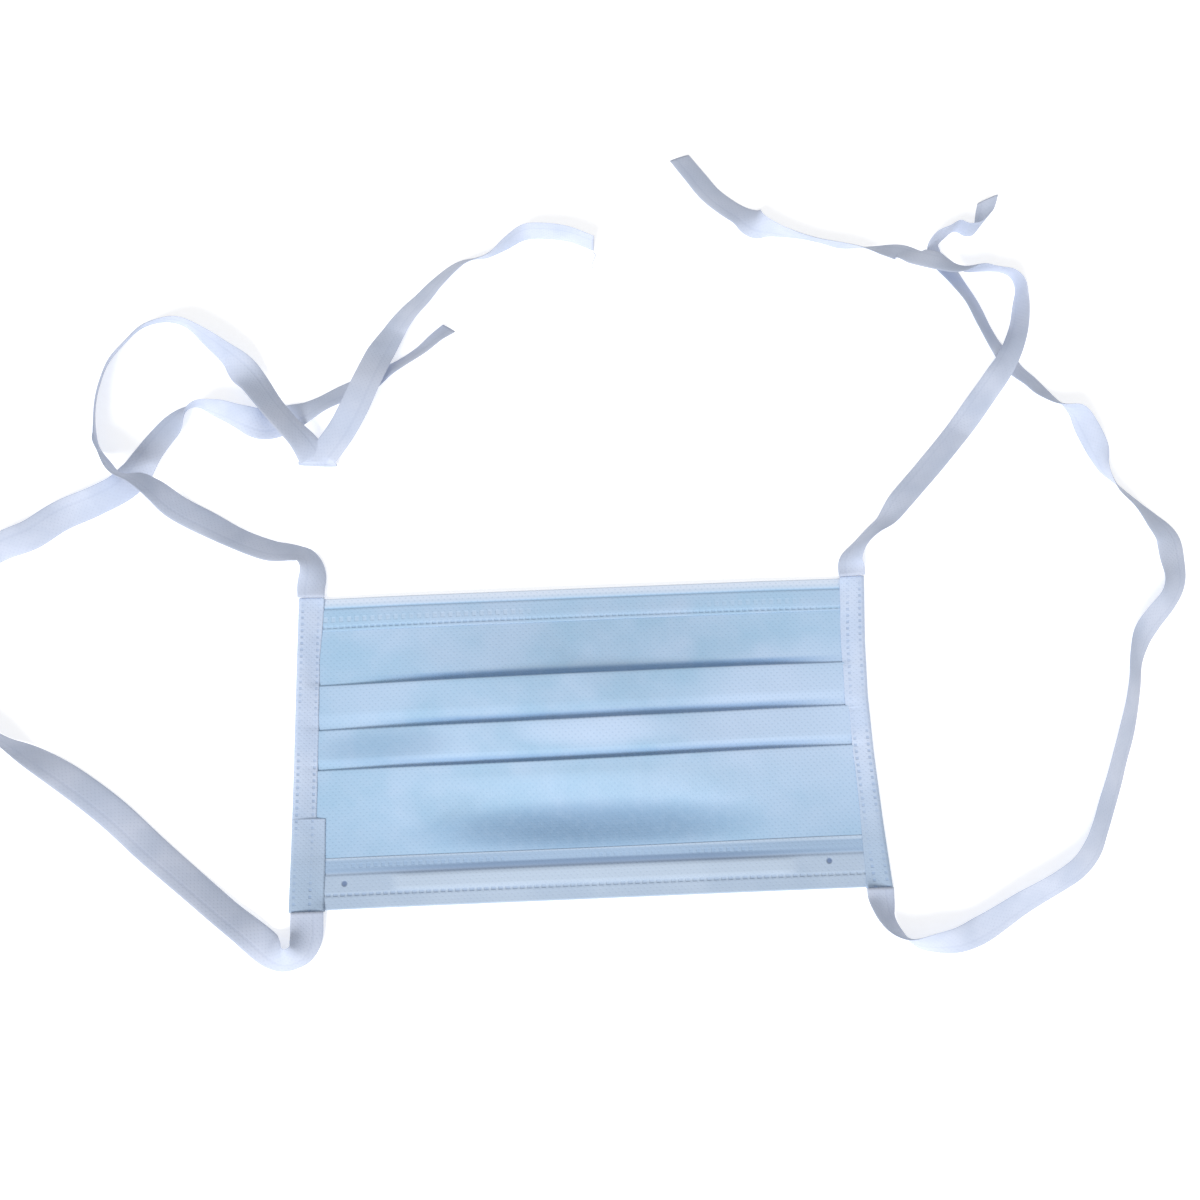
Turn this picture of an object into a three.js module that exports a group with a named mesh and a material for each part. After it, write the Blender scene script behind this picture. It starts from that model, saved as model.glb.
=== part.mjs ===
import * as THREE from "three";

// Tie-on pleated face mask, lying outer face up with its chin edge towards +Y. Millimetres, +Z up.

// Body
const maskLength = 176.4;
const maskHeight = 94.5;
const clothThickness = 1;
const clearance = 0.3;
const domeHeight = 8;
const domeLean = 0.2;
const flatSides = 0.91;
const bodyTurns = 22;
const clothStep = 4;

// Hems and nose wire
const chinHemWidth = 10.6;
const noseHemWidth = 15.2;
const wireWidth = 4.2;
const wireLength = 116;
const wireShift = 1.5;
const wireInset = 5.4;

// Pleats
const pleatDepth = 8.4;
const pleatGape = 1.3;
const pleatDrop = 0.6;
const pleatTilt = 1.4;

// Dent in the band below the last pleat
const dentDepth = 3.6;

// Side bindings and ties
const bindingWidth = 7.6;
const tieWidth = 9.5;
const tieThickness = 1;
const tieStep = 4.9;
const tieOpening = 14;
const edgeRound = 0.25;

// Layers of cloth lie one pitch apart, the lowest one inside the jaws of the side bindings.
const layerPitch = clothThickness + clearance;
const lowestLayer = clothThickness + clearance + clothThickness / 2;
const bindingThickness = 3 * layerPitch + clearance + 2 * clothThickness;
const tiePitch = tieThickness + clearance;

// Outer side edges, from the chin edge (0) to the nose edge (1), as shares of half the mask length.
const sideOutline = [
  { along: 0, left: 0.978, right: 0.998 },
  { along: 0.22, left: 0.983, right: 0.981 },
  { along: 0.4, left: 0.986, right: 0.974 },
  { along: 0.58, left: 0.989, right: 0.977 },
  { along: 0.8, left: 0.994, right: 0.987 },
  { along: 1, left: 1, right: 1 },
];

// Visible width of each binding as a share of its common width. The lower tie's end laps over the left one.
const leftBindingWidths = [
  { along: 0, width: 1.05 },
  { along: 0.2, width: 0.92 },
  { along: 0.712, width: 0.96 },
  { along: 0.716, width: 1.32 },
  { along: 1, width: 1.36 },
];
const rightBindingWidths = [
  { along: 0, width: 1 },
  { along: 0.43, width: 0.92 },
  { along: 0.436, width: 0.8 },
  { along: 0.75, width: 0.84 },
  { along: 1, width: 1 },
];

// Upper fold edge of each pleat from the chin edge, as a share of the mask height, and how far it gapes.
const pleats = [
  { edge: 0.288, gape: 1 },
  { edge: 0.433, gape: 0.55 },
  { edge: 0.561, gape: 0.55 },
];

// Centre and half sizes of the dent, as shares of half the mask length and of the mask height.
const dent = { across: -0.03, along: 0.72, halfWidth: 0.62, halfHeight: 0.12 };

// Where each tie leaves its binding: the side, the end, and its middle's inset and the gathered width there
// as shares of the tape's width.
const tieStarts = {
  upperLeft: { side: "left", along: 0, inset: 0.42, gathered: 0.86 },
  lowerLeft: { side: "left", along: 1, inset: 0.59, gathered: 1 },
  upperRight: { side: "right", along: 0, inset: 0.41, gathered: 0.84 },
  lowerRight: { side: "right", along: 1, inset: 0.42, gathered: 0.84 },
};

// Tie routes from that start to the free end. A lean of 0 is flat, 90 stands on an edge, 180 has turned over.
// Lift is the room under the lower edge, as a share of the tape's width.
// A row with fold 1 is a crease where the tape turns over and goes on above itself.
const routeColumns = ["x", "y", "lean", "lift", "fold"];
const upperLeftRoute = [
  [0, 0, 6, 0.2, 0],
  [0, 3, 9, 0.18, 0],
  [0.6, 7.2, 34, 0.04, 0],
  [0, 10.8, 49, 0.02, 0],
  [-1.9, 13.2, 51, 0.01, 0],
  [-4.7, 14, 46, 0.02, 0],
  [-8.4, 14.6, 37, 0.04, 0],
  [-12.5, 15.2, 33, 0.1, 0],
  [-22, 19.2, 34, 0.05, 0],
  [-33, 25.5, 22, 0, 0],
  [-42.5, 31, 23, 0.11, 0],
  [-48, 35, 36, 0.61, 0],
  [-52.5, 37.5, 51, 0.89, 0],
  [-58, 39.5, 75, 0.82, 0],
  [-63.5, 46.5, 86, 0.4, 0],
  [-67.5, 53, 96, 0, 0],
  [-68.5, 59.5, 104, 0, 0],
  [-68.5, 67, 108, 0, 0],
  [-67.5, 73, 111, 0, 0],
  [-65, 80.5, 114, 0, 0],
  [-60.5, 86.5, 116, 0, 0],
  [-55, 92, 115, 0, 0],
  [-48, 94, 110, 0, 0],
  [-42, 93, 94, 0, 0],
  [-35, 88, 73, 0, 0],
  [-27, 81, 58, 0, 0],
  [-19.5, 72.5, -20, 0.2, 0],
  [-13.5, 63.5, -36, 0.45, 0],
  [-7.5, 55.5, -38, 0.6, 0],
  [-2.5, 50, -30, 0.42, 0],
  [1.5, 44, 0, 0.04, 1],
  [9.5, 52.5, 177, 0.62, 0],
  [14, 59, 177, 0.93, 0],
  [18, 68, 172, 0.91, 0],
  [22, 79.5, 174, 0.46, 0],
  [26, 88, 154, 0, 0],
  [31, 94.5, 145, 0, 0],
  [35, 98.5, 141, 0, 0],
  [40, 104, 134, 0, 0],
  [48, 110.5, 127, 0, 0],
  [56.5, 112.5, 112, 0, 0],
  [62.5, 116.5, 92, 0, 0],
  [69, 120.5, 84, 0, 0],
  [77, 120.5, 84, 0, 0],
  [84, 119, 87, 0, 0],
  [91.5, 115.5, 88, 0, 0],
];
const lowerLeftRoute = [
  [0, 0, -4, 0.2, 0],
  [0, -3, -5, 0.19, 0],
  [0, -7, -20, 0.11, 0],
  [-0.8, -10, -38, 0.05, 0],
  [-1.8, -11.8, -51, 0.02, 0],
  [-3.3, -12.8, -58, 0, 0],
  [-5.1, -13.3, -57, 0, 0],
  [-7.2, -12.9, -46, 0, 0],
  [-9.3, -11.6, -28, 0.03, 0],
  [-12.6, -8.9, 6, 0.06, 0],
  [-17.5, -4.5, 26, 0.06, 0],
  [-23, 0, 30, 0.05, 0],
  [-34, 9.5, 27, 0, 0],
  [-46, 20, 17, 0, 0],
  [-58.5, 31.5, 12, 0, 0],
  [-72, 42, 22, 0, 0],
  [-83.5, 49.5, 48, 0, 0],
  [-91, 54, 75, 0, 0],
  [-103.5, 63, 85, 0, 0],
  [-113.5, 76, 90, 0, 0],
  [-117, 87.5, 90, 0, 0],
  [-113, 99, 83, 0, 0],
  [-105, 107.5, 70, 0, 0],
  [-95.5, 114.5, 48, 0, 0],
  [-87, 118.5, 26, 0, 0],
  [-78, 124.5, 18, 0, 0],
  [-67, 128.5, 40, 0, 0],
  [-59.5, 132.5, 38, 0, 0],
  [-55.5, 137.5, 15, 0, 0],
  [-52.5, 143, -9, 0, 0],
  [-48.5, 148.5, -14, 0, 0],
  [-43.5, 154, -18, 0, 0],
  [-36.5, 158.5, -82, 0, 0],
  [-29, 157, -113, 0, 0],
  [-21.5, 154, -129, 0, 0],
  [-14.5, 152.5, -184, 0, 0],
  [-8.5, 154, -173, 0, 0],
  [-2.5, 155.5, -205, 0, 0],
  [3, 158, -218, 0, 0],
  [9, 161, -214, 0, 0],
  [16.5, 164, -206, 0, 0],
  [24.5, 168.5, -226, 0, 0],
  [29, 171, -230, 0, 0],
  [35, 175, -229, 0, 0],
  [40, 179.5, -226, 0, 0],
  [44, 182.5, -220, 0, 0],
];
const upperRightRoute = [
  [0, 0, -6, 0.2, 0],
  [0, 2, -10, 0.17, 0],
  [0.1, 4.9, -42, 0.02, 0],
  [1.8, 8, -61, 0, 0],
  [4.2, 10.8, -67, 0, 0],
  [7.7, 13.9, -62, 0, 0],
  [11.9, 17, -53, 0, 0],
  [16.9, 23.2, -38, 0.06, 0],
  [26.9, 34, -35, 0, 0],
  [37.6, 46, -36, 0, 0],
  [44.5, 54.5, -36, 0.48, 0],
  [50, 61.5, -38, 0.88, 0],
  [54.5, 68.5, -50, 0.8, 0],
  [60, 81, -65, 0.25, 0],
  [62, 89.5, -74, 0, 0],
  [62.5, 95, -87, 0, 0],
  [60.5, 99, -105, 0, 0],
  [57.5, 100.5, -111, 0, 0],
  [52.5, 101, -106, 0.04, 0],
  [47, 100.5, -99, 0.24, 0],
  [40.5, 100, -145, 0.72, 0],
  [34.5, 101, -156, 0.99, 0],
  [29, 104, -160, 0.78, 0],
  [25, 108, -156, 0.25, 0],
  [18.5, 109.5, -138, 0.06, 0],
  [12, 110.5, -116, 0, 0],
  [5.5, 111.5, -106, 0, 0],
  [-1, 113.5, -114, 0, 0],
  [-7.5, 115.5, -110, 0, 0],
  [-14, 117.5, -96, 0, 0],
  [-19.5, 119.5, -74, 0, 0],
  [-24.5, 124, 21, 0, 0],
  [-29.5, 127.5, 23, 0, 0],
  [-35.5, 133, 25, 0, 0],
  [-40, 139.5, 27, 0, 0],
  [-45, 147, 28, 0, 0],
];
const lowerRightRoute = [
  [0, 0, -6, 0.2, 0],
  [0, -2.8, -9, 0.17, 0],
  [0.6, -7.9, -48, 0.02, 0],
  [3.1, -12.2, -60, 0, 0],
  [6.2, -14.8, -76, 0, 0],
  [10.2, -16, -109, 0, 0],
  [15.5, -16.2, -125, 0, 0],
  [21.5, -15.6, -141, 0, 0],
  [27.8, -13.3, -152, 0, 0],
  [33.8, -10.1, -144, 0, 0],
  [40, -6.5, -137, 0, 0],
  [46, -3.5, -133, 0, 0],
  [52, -0.5, -133, 0, 0],
  [58.5, 3.5, -136, 0, 0],
  [63, 8.5, -140, 0, 0],
  [66, 14.5, -135, 0, 0],
  [69, 21.5, -137, 0, 0],
  [72, 28.5, -136, 0, 0],
  [74.5, 35, -134, 0, 0],
  [77.5, 42.5, -135, 0, 0],
  [80, 50, -130, 0, 0],
  [82, 57.5, -129, 0, 0],
  [83.5, 65, -130, 0, 0],
  [86.5, 72, -140, 0, 0],
  [90.5, 77, -138, 0, 0],
  [96, 83, -135, 0, 0],
  [99, 89, -147, 0, 0],
  [99.5, 96, -159, 0, 0],
  [99, 102.5, -161, 0, 0],
  [94.5, 108.5, -142, 0, 0],
  [90, 114, -126, 0, 0],
  [85.5, 119, -124, 0, 0],
  [82, 124.5, -100, 0, 0],
  [80.5, 131.5, -66, 0, 0],
  [78, 139, -62, 0, 0],
  [75.5, 144.5, -72, 0, 0],
  [72, 147, -116, 0, 0],
  [68.5, 149.5, -127, 0, 0],
  [65, 153, -140, 0, 0],
  [62, 156.5, -139, 0, 0],
  [58.5, 160, -143, 0, 0],
  [55.5, 164.5, -149, 0, 0],
  [52.5, 169, -137, 0, 0],
  [49.5, 176, -134, 0, 0],
  [46.5, 184.5, -134, 0, 0],
  [42.5, 192, -140, 0, 0],
  [38.5, 199, -151, 0, 0],
  [36, 203, -138, 0, 0],
  [37, 206.5, -98, 0, 0],
  [41, 209.5, -88, 0, 0],
  [44.5, 211.5, -84, 0, 0],
  [47.5, 210, -87, 0, 0],
  [51, 210.5, -92, 0, 0],
  [53.5, 215, -61, 0, 0],
  [55.5, 221, -59, 0, 0],
];

// Value of a table's column at a share of the height, straight between rows.
function tableValue(rows, column, along) {
  const next = rows.findIndex((row) => row.along >= along);
  if (next < 0) return rows[rows.length - 1][column];
  if (next === 0) return rows[0][column];
  const before = rows[next - 1];
  const after = rows[next];
  const share = (along - before.along) / (after.along - before.along);
  return before[column] + share * (after[column] - before[column]);
}

// Smooth rise from 0 at either end (-1, 1) to 1 in the middle.
function swell(share) {
  const rest = 1 - Math.min(1, share * share);
  return rest * rest;
}

// Outer side edge at a height share, left as a negative length.
function sideEdge(side, along) {
  const share = tableValue(sideOutline, side, along);
  return (side === "left" ? -1 : 1) * share * maskLength / 2;
}

// Height that the soft dome and its dent add over a place on the body.
function domeAt(across, along) {
  const dome = domeHeight * swell(across / flatSides) * swell(2 * along - 1);
  const dentAcross = swell((across - dent.across) / dent.halfWidth);
  const dentAlong = swell((along - dent.along) / dent.halfHeight);
  return dome - dentDepth * dentAcross * dentAlong;
}

// How far a place on the body lies towards the chin edge: the soft cloth hangs back where it is domed, and
// the pleats climb a little towards the right.
function shiftAt(across, along) {
  const middle = swell(2 * along - 1);
  const climb = pleatTilt * (1 + across) / 2;
  return climb * middle - domeLean * domeHeight * swell(across / flatSides) * middle;
}

// A cloth line is a list of points down the body: distance from the chin edge, layer number and gape.
function point(distance, layer, gape = 0) {
  return { distance, layer, gape };
}

// The pleated body goes into the chin hem, folds under and back at each pleat, and ends in the nose hem.
function panelLine() {
  const half = clothThickness / 2;
  const firstEdge = pleats[0].edge * maskHeight;
  const line = [point(clothThickness + clearance, 1), point(chinHemWidth, 1)];
  line.push(point(firstEdge - pleatDrop, 0));
  pleats.forEach((pleat, index) => {
    const edge = pleat.edge * maskHeight + half;
    const under = edge + pleatDepth;
    const gape = pleat.gape * pleatGape;
    line.push(point(under, 0), point(under, 1), point(edge, 1, gape), point(edge, 2, gape));
    line.push(point(under + half, 2));
    const following = pleats[index + 1];
    if (following) line.push(point(following.edge * maskHeight - pleatDrop, 0));
  });
  line.push(point(maskHeight - noseHemWidth, 1));
  line.push(point(maskHeight - wireInset - wireWidth - clearance, 1));
  return line;
}

// A hem is one strip folded round the body's edge, closed at the mask's edge and open inwards.
function hemLine(outerFold, innerEdge) {
  return [point(innerEdge, 0), point(outerFold, 0), point(outerFold, 2), point(innerEdge, 2)];
}

// Adds points to a cloth line so that no step is longer than the cloth step.
function refined(line) {
  const out = [line[0]];
  line.slice(1).forEach((to, index) => {
    const from = line[index];
    const steps = Math.max(1, Math.ceil(Math.abs(to.distance - from.distance) / clothStep));
    for (let step = 1; step <= steps; step += 1) {
      const share = step / steps;
      const mix = (key) => from[key] + share * (to[key] - from[key]);
      out.push(point(mix("distance"), mix("layer"), mix("gape")));
    }
  });
  return out;
}

// Outline of a cloth line with its thickness, square at its ends and mitred at its corners.
function thickened(line) {
  const centre = line.map((at) => new THREE.Vector2(at.distance, lowestLayer + at.layer * layerPitch));
  const normalOf = (from, to) => {
    const way = to.clone().sub(from).normalize();
    return new THREE.Vector2(-way.y, way.x);
  };
  const sides = [1, -1].map((side) =>
    centre.map((at, index) => {
      const before = index > 0 ? normalOf(centre[index - 1], at) : null;
      const after = index < centre.length - 1 ? normalOf(at, centre[index + 1]) : null;
      const normal = (before || after).clone().add(after || before).normalize();
      const reach = clothThickness / 2 / normal.dot(before || after);
      const moved = at.clone().addScaledVector(normal, side * reach);
      return { distance: moved.x, height: moved.y, gape: line[index].gape };
    }),
  );
  return [...sides[0], ...sides[1].reverse()];
}

// Carries a thickened cloth line across the body, between two shares of its half length.
function loftedCloth(line, from, to) {
  const outline = thickened(refined(line));
  const edgeRoom = clothThickness + clearance;
  const sectionAt = (across) =>
    outline.map((at) => {
      const along = at.distance / maskHeight;
      const edge = Math.abs(sideEdge(across < 0 ? "left" : "right", along)) - edgeRoom;
      const height = at.height + domeAt(across, along) + at.gape * swell(across / flatSides);
      const y = maskHeight / 2 - at.distance + shiftAt(across, along);
      return new THREE.Vector3(across * edge, y, height);
    });
  const rings = [];
  for (let turn = 0; turn <= bodyTurns; turn += 1) {
    rings.push(sectionAt(from + (to - from) * turn / bodyTurns));
  }
  return loftedGeometry(rings);
}

// Indexed geometry whose faces point outwards, whichever way its sections were listed.
function closedGeometry(positions, faces) {
  const corner = (index) => new THREE.Vector3().fromArray(positions, 3 * index);
  let volume = 0;
  for (let index = 0; index < faces.length; index += 3) {
    const [a, b, c] = faces.slice(index, index + 3).map(corner);
    volume += a.dot(b.cross(c));
  }
  const outward = volume < 0 ? faces.slice().reverse() : faces;
  const geometry = new THREE.BufferGeometry();
  geometry.setAttribute("position", new THREE.Float32BufferAttribute(positions, 3));
  geometry.setIndex(outward);
  geometry.computeVertexNormals();
  return geometry;
}

// Joins rings of points and closes both ends. A ring runs along one face of the sheet and back along the
// other, so that the first point faces the last one, the second the last but one, and so on.
function loftedGeometry(rings) {
  const count = rings[0].length;
  const last = (rings.length - 1) * count;
  const faces = [];
  for (let ring = 0; ring < rings.length - 1; ring += 1) {
    for (let index = 0; index < count; index += 1) {
      const a = ring * count + index;
      const b = ring * count + (index + 1) % count;
      faces.push(a, b, a + count, b, b + count, a + count);
    }
  }
  for (let index = 0; index < count / 2 - 1; index += 1) {
    const [a, b, c, d] = [index, index + 1, count - 2 - index, count - 1 - index];
    faces.push(a, c, b, a, d, c);
    faces.push(last + a, last + b, last + c, last + a, last + c, last + d);
  }
  const positions = rings.flat().flatMap((at) => [at.x, at.y, at.z]);
  return closedGeometry(positions, faces);
}

// A binding is tape folded round the side edge: two flanges joined by a rounded web.
function bindingGeometry(side, widths) {
  const sign = side === "left" ? -1 : 1;
  const t = clothThickness;
  const top = bindingThickness;
  const stations = [...new Set([...sideOutline, ...widths].map((row) => row.along))].sort((a, b) => a - b);
  const sectionAt = (along) => {
    const outer = sideEdge(side, along);
    const inner = outer - sign * bindingWidth * tableValue(widths, "width", along);
    const web = outer - sign * t;
    const middle = (inner + web) / 2;
    const outside = [
      [inner, 0],
      [web, 0],
      [outer, t],
      [outer, top - t],
      [web, top],
      [inner, top],
    ];
    const inside = [
      [inner, top - t],
      [middle, top - t],
      [web, top - t],
      [web, t],
      [middle, t],
      [inner, t],
    ];
    return [...outside, ...inside].map(([x, z]) => new THREE.Vector3(x, maskHeight * (0.5 - along), z));
  };
  return loftedGeometry(stations.map(sectionAt));
}

// Half height that leaning tape takes up above or below its centre line.
function halfHeight(lean) {
  const turned = THREE.MathUtils.degToRad(lean);
  return (tieWidth * Math.abs(Math.sin(turned)) + tieThickness * Math.abs(Math.cos(turned))) / 2;
}

// A ruling is one straight line across the tape: its centre, half its length as a vector, its face normal.
function squareRuling(centre, way, lean) {
  const left = new THREE.Vector3(0, 0, 1).cross(way).normalize();
  const up = way.clone().cross(left).normalize();
  const turned = THREE.MathUtils.degToRad(lean);
  const across = left.clone().multiplyScalar(Math.cos(turned)).addScaledVector(up, Math.sin(turned));
  const normal = up.clone().multiplyScalar(Math.cos(turned)).addScaledVector(left, -Math.sin(turned));
  return { centre, across: across.multiplyScalar(tieWidth / 2), normal };
}

// Rulings of a crease, where the tape rolls over a line that halves the turn between its two ways.
function creaseRulings(fold, wayIn, wayOut) {
  const crease = wayIn.clone().add(wayOut).normalize();
  const left = new THREE.Vector3(0, 0, 1).cross(wayIn);
  const cosSkew = crease.dot(left);
  const across = crease.multiplyScalar(tieWidth / 2 / cosSkew);
  const outward = wayIn.clone().sub(wayOut).normalize();
  const roll = tiePitch / 2;
  return [0, 0.5, 1].map((share) => {
    const angle = share * Math.PI;
    const centre = new THREE.Vector3(fold.x, fold.y, fold.height + roll * (1 - Math.cos(angle)));
    centre.addScaledVector(outward, roll * Math.sin(angle));
    const normal = new THREE.Vector3(0, 0, Math.cos(angle)).addScaledVector(outward, Math.sin(angle));
    return { centre, across: across.clone(), normal };
  });
}

// Rulings of a smooth stretch of tape between creases, kept clear of each crease's slanting line and above
// the surface it lies on.
function stretchRulings(rows, setbackIn, setbackOut) {
  const points = rows.map((row) => new THREE.Vector3(row.x, row.y, row.height));
  const curve = new THREE.CatmullRomCurve3(points, false, "centripetal");
  const length = curve.getLength();
  const steps = Math.max(1, Math.round((length - setbackIn - setbackOut) / tieStep));
  const rulings = [];
  for (let step = 0; step <= steps; step += 1) {
    const distance = setbackIn + (length - setbackIn - setbackOut) * step / steps;
    const t = curve.getUtoTmapping(Math.min(1, distance / length));
    const place = t * (rows.length - 1);
    const index = Math.min(rows.length - 2, Math.floor(place));
    const lean = THREE.MathUtils.lerp(rows[index].lean, rows[index + 1].lean, place - index);
    const centre = curve.getPoint(t);
    centre.z = Math.max(centre.z, halfHeight(lean));
    rulings.push(squareRuling(centre, curve.getTangent(t), lean));
  }
  return rulings;
}

// Rows of a route by column name, moved to the tie's start, with the height of the tape's centre line.
function routeRows(start, route) {
  const { side, along, inset } = tieStarts[start];
  const inwards = side === "left" ? 1 : -1;
  const startX = sideEdge(side, along) + inwards * inset * tieWidth;
  const startY = (along === 0 ? 1 : -1) * (maskHeight / 2 + clearance);
  return route.map((values) => {
    const row = Object.fromEntries(routeColumns.map((name, index) => [name, values[index]]));
    const height = row.lift * tieWidth + halfHeight(row.lean);
    return { ...row, x: startX + row.x, y: startY + row.y, height };
  });
}

// All rulings of a tie. Before a crease the tape lies flat, and after it flat again with the other face up.
function tieRulings(start, route) {
  const rows = routeRows(start, route);
  const rulings = [];
  let stretch = [];
  let setbackIn = 0;
  rows.forEach((row, index) => {
    stretch.push(row);
    if (row.fold) {
      const before = rows[index - 1];
      const after = rows[index + 1];
      const wayIn = new THREE.Vector3(row.x - before.x, row.y - before.y, 0).normalize();
      const wayOut = new THREE.Vector3(after.x - row.x, after.y - row.y, 0).normalize();
      const setback = tieWidth / 2 / Math.tan(wayIn.angleTo(wayOut) / 2);
      rulings.push(...stretchRulings(stretch, setbackIn, setback), ...creaseRulings(row, wayIn, wayOut));
      const turnedOver = row.lean + 180 * Math.sign(after.lean - row.lean);
      stretch = [{ ...row, lean: turnedOver, height: row.height + tiePitch }];
      setbackIn = setback;
    }
  });
  rulings.push(...stretchRulings(stretch, setbackIn, 0));
  return rulings;
}

// The tape leaves its binding gathered and opens out to its whole width along its first stretch.
function openedOut(rulings, gathered) {
  let run = 0;
  return rulings.map((ruling, index) => {
    if (index > 0) run += ruling.centre.distanceTo(rulings[index - 1].centre);
    const share = THREE.MathUtils.lerp(gathered, 1, Math.min(1, run / tieOpening));
    return { ...ruling, across: ruling.across.clone().multiplyScalar(share) };
  });
}

// Flat tape with slightly rounded edges, carried along its rulings.
function tieGeometry(start, route) {
  const half = tieWidth / 2;
  const inner = half - edgeRound;
  const thick = tieThickness / 2;
  const outline = [
    [half, 0],
    [inner, thick],
    [0, thick],
    [-inner, thick],
    [-half, 0],
    [-inner, -thick],
    [0, -thick],
    [inner, -thick],
  ].map(([across, out]) => new THREE.Vector2(across, out));
  const rulings = openedOut(tieRulings(start, route), tieStarts[start].gathered);
  const rings = rulings.map(({ centre, across, normal }) =>
    outline.map((at) => centre.clone().addScaledVector(across, at.x / half).addScaledVector(normal, at.y)),
  );
  return loftedGeometry(rings);
}

function blueNonwoven() {
  return new THREE.MeshStandardMaterial({ color: 0xabcbe8, roughness: 0.9, metalness: 0 });
}

function paleNonwoven() {
  return new THREE.MeshStandardMaterial({ color: 0xcbdaee, roughness: 0.9, metalness: 0 });
}

function whiteTape() {
  return new THREE.MeshStandardMaterial({ color: 0xd3dbef, roughness: 0.88, metalness: 0 });
}

function coatedWire() {
  return new THREE.MeshStandardMaterial({ color: 0xe4e9f0, roughness: 0.5, metalness: 0 });
}

function named(name, geometry, material) {
  const mesh = new THREE.Mesh(geometry, material);
  mesh.name = name;
  return mesh;
}

function pleatedPanel() {
  return named("pleated_panel", loftedCloth(panelLine(), -1, 1), blueNonwoven());
}

function chinHem() {
  const line = hemLine(clothThickness / 2, chinHemWidth);
  return named("chin_hem", loftedCloth(line, -1, 1), blueNonwoven());
}

function noseHem() {
  const line = hemLine(maskHeight - clothThickness / 2, maskHeight - noseHemWidth);
  return named("nose_hem", loftedCloth(line, -1, 1), paleNonwoven());
}

function noseWire() {
  const farEdge = maskHeight - wireInset;
  const line = [point(farEdge - wireWidth, 1), point(farEdge, 1)];
  const from = (wireShift - wireLength / 2) / (maskLength / 2);
  const to = (wireShift + wireLength / 2) / (maskLength / 2);
  return named("nose_wire", loftedCloth(line, from, to), coatedWire());
}

function buildMask() {
  const mask = new THREE.Group();
  mask.name = "surgical_face_mask";
  mask.add(
    pleatedPanel(),
    chinHem(),
    noseHem(),
    noseWire(),
    named("left_binding", bindingGeometry("left", leftBindingWidths), whiteTape()),
    named("right_binding", bindingGeometry("right", rightBindingWidths), whiteTape()),
    named("upper_left_tie", tieGeometry("upperLeft", upperLeftRoute), whiteTape()),
    named("lower_left_tie", tieGeometry("lowerLeft", lowerLeftRoute), whiteTape()),
    named("upper_right_tie", tieGeometry("upperRight", upperRightRoute), whiteTape()),
    named("lower_right_tie", tieGeometry("lowerRight", lowerRightRoute), whiteTape()),
  );
  return mask;
}

export default buildMask();
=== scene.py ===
# Tie-on pleated face mask lying loose on a pale surface, outer face up, chin edge towards +Y.
# Metres, +Z up.
import bpy
import numpy as np
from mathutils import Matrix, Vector


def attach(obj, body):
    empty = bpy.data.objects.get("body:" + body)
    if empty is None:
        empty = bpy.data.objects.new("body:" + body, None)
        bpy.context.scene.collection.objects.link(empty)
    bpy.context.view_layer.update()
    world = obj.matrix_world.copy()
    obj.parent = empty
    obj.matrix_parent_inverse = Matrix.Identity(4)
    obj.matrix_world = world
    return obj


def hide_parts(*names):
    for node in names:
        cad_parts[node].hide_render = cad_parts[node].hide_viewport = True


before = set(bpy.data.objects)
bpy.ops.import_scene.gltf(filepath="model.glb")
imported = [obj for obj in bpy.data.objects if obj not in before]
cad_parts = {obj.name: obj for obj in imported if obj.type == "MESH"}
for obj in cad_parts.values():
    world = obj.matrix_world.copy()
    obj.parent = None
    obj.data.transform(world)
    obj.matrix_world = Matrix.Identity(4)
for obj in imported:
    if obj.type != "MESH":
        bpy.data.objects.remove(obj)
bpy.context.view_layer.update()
print("frame loaded")

# Camera on the nose side, looking steeply down; degrees, metres and the lens in millimetres
view = {"elevation": 75, "azimuth": 2.4, "distance": 0.45, "target": (0.0063, 0.0435, 0), "lens": 43.74}


def addCamera():
    # stands its distance back from the target, against the way it looks
    rise, turn = np.radians([view["elevation"], view["azimuth"]])
    forward = Vector((np.cos(rise) * np.sin(turn), np.cos(rise) * np.cos(turn), -np.sin(rise)))
    lensData = bpy.data.cameras.new("camera")
    lensData.lens = view["lens"]
    lensData.clip_start = 0.01
    camera = bpy.data.objects.new("camera", lensData)
    camera.location = Vector(view["target"]) - view["distance"] * forward
    camera.rotation_euler = forward.to_track_quat("-Z", "Y").to_euler()
    bpy.context.scene.collection.objects.link(camera)
    bpy.context.scene.camera = camera


addCamera()
print("camera set")


class Value:
    # one socket of a finish; sums on it add Math nodes
    def __init__(self, finish, socket):
        self.finish, self.socket = finish, socket

    def __add__(self, other):
        return self.finish.sum("ADD", self, other)

    def __radd__(self, other):
        return self.finish.sum("ADD", other, self)

    def __sub__(self, other):
        return self.finish.sum("SUBTRACT", self, other)

    def __rsub__(self, other):
        return self.finish.sum("SUBTRACT", other, self)

    def __mul__(self, other):
        return self.finish.sum("MULTIPLY", self, other)

    def __rmul__(self, other):
        return self.finish.sum("MULTIPLY", other, self)

    def __truediv__(self, other):
        return self.finish.sum("DIVIDE", self, other)

    def __rtruediv__(self, other):
        return self.finish.sum("DIVIDE", other, self)

    def __pow__(self, other):
        return self.finish.sum("POWER", self, other)

    def __abs__(self):
        return self.finish.sum("ABSOLUTE", self)

    def towards(self, share, *levels):
        # this colour with a share of a tone laid over it
        return self.finish.mixed(share, self, tone(*levels))


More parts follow.
